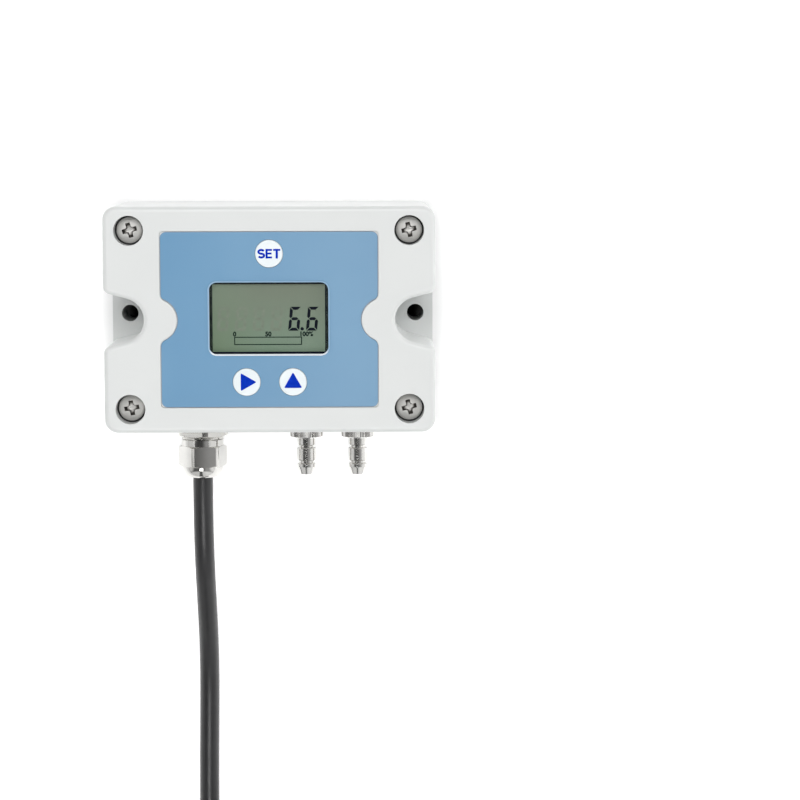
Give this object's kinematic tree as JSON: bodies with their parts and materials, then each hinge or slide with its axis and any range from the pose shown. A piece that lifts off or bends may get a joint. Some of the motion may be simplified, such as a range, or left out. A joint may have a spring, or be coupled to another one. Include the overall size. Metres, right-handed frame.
{
  "type": "differential pressure transmitter",
  "caption": "Wall-mounted differential pressure transmitter with a display, keys, hose nozzles and a cable gland in a grey plastic case.",
  "frame": {"origin": "middle of the back face, midway between the two wall fixing holes", "axes": "+X along the long side to the right of the display, +Y to the display's top, +Z out of the front; the gland and the nozzles point along -Y"},
  "size_m": [0.104, 0.3126, 0.047],
  "materials": {
    "enclosure": "satin moulded light grey",
    "blue_film": "printed film",
    "key_white": "satin white",
    "clear_pane": "clear acrylic",
    "lcd_glass": "grey-green liquid crystal cell",
    "white_plastic": "satin",
    "dark_plastic": "satin",
    "circuit_board": "satin",
    "ribbon_grey": "satin",
    "terminal_green": "satin",
    "clear_silicone": "translucent",
    "stainless": "turned",
    "nickel": "bright nickel plate",
    "brass": "turned",
    "black_rubber": "matt",
    "cable_black": "satin sheath",
    "core_grey": "satin"
  },
  "bodies": {
    "case": {"case_base": "enclosure", "case_lid": "enclosure", "lid_gasket": "black_rubber", "lid_screws": "stainless", "lid_inserts": "brass", "front_label": "blue_film", "display_window": "clear_pane", "display_bezel": "dark_plastic", "display_glass": "lcd_glass", "display_backlight": "white_plastic", "display_board": "circuit_board", "display_board_screws": "stainless", "key_switches": "dark_plastic", "main_board": "circuit_board", "main_board_screws": "stainless", "main_header": "dark_plastic", "display_header": "dark_plastic", "board_ribbon": "ribbon_grey", "nozzle_high": "stainless", "nozzle_low": "stainless", "nozzle_seals": "black_rubber", "nozzle_nuts": "stainless", "gland_body": "nickel", "gland_nut": "nickel", "gland_seal": "black_rubber", "gland_claw": "white_plastic", "gland_gasket": "black_rubber", "gland_locknut": "nickel", "pressure_sensor": "dark_plastic", "terminal_block": "terminal_green", "tube_high": "clear_silicone", "tube_low": "clear_silicone", "cable_inside": "cable_black", "cable_cores": "core_grey", "cable_lead": "cable_black", "cable_coil": "cable_black", "cable_tail": "cable_black", "cable_tie": "dark_plastic", "core_ends": "core_grey", "core_ferrules": "stainless"},
    "set_key": {"key_set": "key_white", "plunger_set": "dark_plastic"},
    "shift_key": {"key_shift": "key_white", "plunger_shift": "dark_plastic"},
    "up_key": {"key_up": "key_white", "plunger_up": "dark_plastic"}
  },
  "joints": [
    {"name": "press_set", "type": "slide", "parent": "case", "child": "set_key", "axis": [0, 0, -1], "range_m": [0, 0.0005], "stiffness_N_per_m": 1500},
    {"name": "press_shift", "type": "slide", "parent": "case", "child": "shift_key", "axis": [0, 0, -1], "range_m": [0, 0.0005], "stiffness_N_per_m": 1500},
    {"name": "press_up", "type": "slide", "parent": "case", "child": "up_key", "axis": [0, 0, -1], "range_m": [0, 0.0005], "stiffness_N_per_m": 1500}
  ]
}
